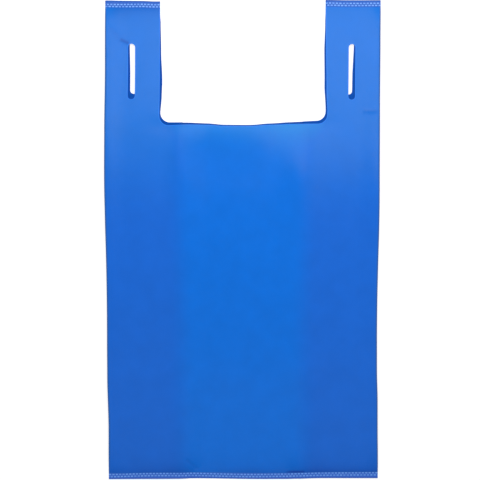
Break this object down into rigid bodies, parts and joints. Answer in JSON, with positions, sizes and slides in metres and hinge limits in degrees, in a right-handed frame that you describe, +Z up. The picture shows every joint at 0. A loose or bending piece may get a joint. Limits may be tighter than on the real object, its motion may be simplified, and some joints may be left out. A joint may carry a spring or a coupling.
{
  "type": "non-woven t-shirt bag",
  "caption": "Flat gusseted carrier bag of blue spunbond cloth, with slotted loop handles, a square mouth notch and welded seams across the base and handle tops.",
  "frame": {"origin": "middle of the bag's box in X and Y, on the surface that the back panel lies on", "axes": "+X to the bag's right, +Y from the base towards the handles, +Z up out of the front panel"},
  "size_m": [0.3082, 0.533, 0.0063],
  "materials": {
    "spunbond": "matt royal blue spunbond polypropylene with a fine point-bonded emboss"
  },
  "bodies": {
    "root": {"bag": "spunbond"}
  },
  "joints": []
}
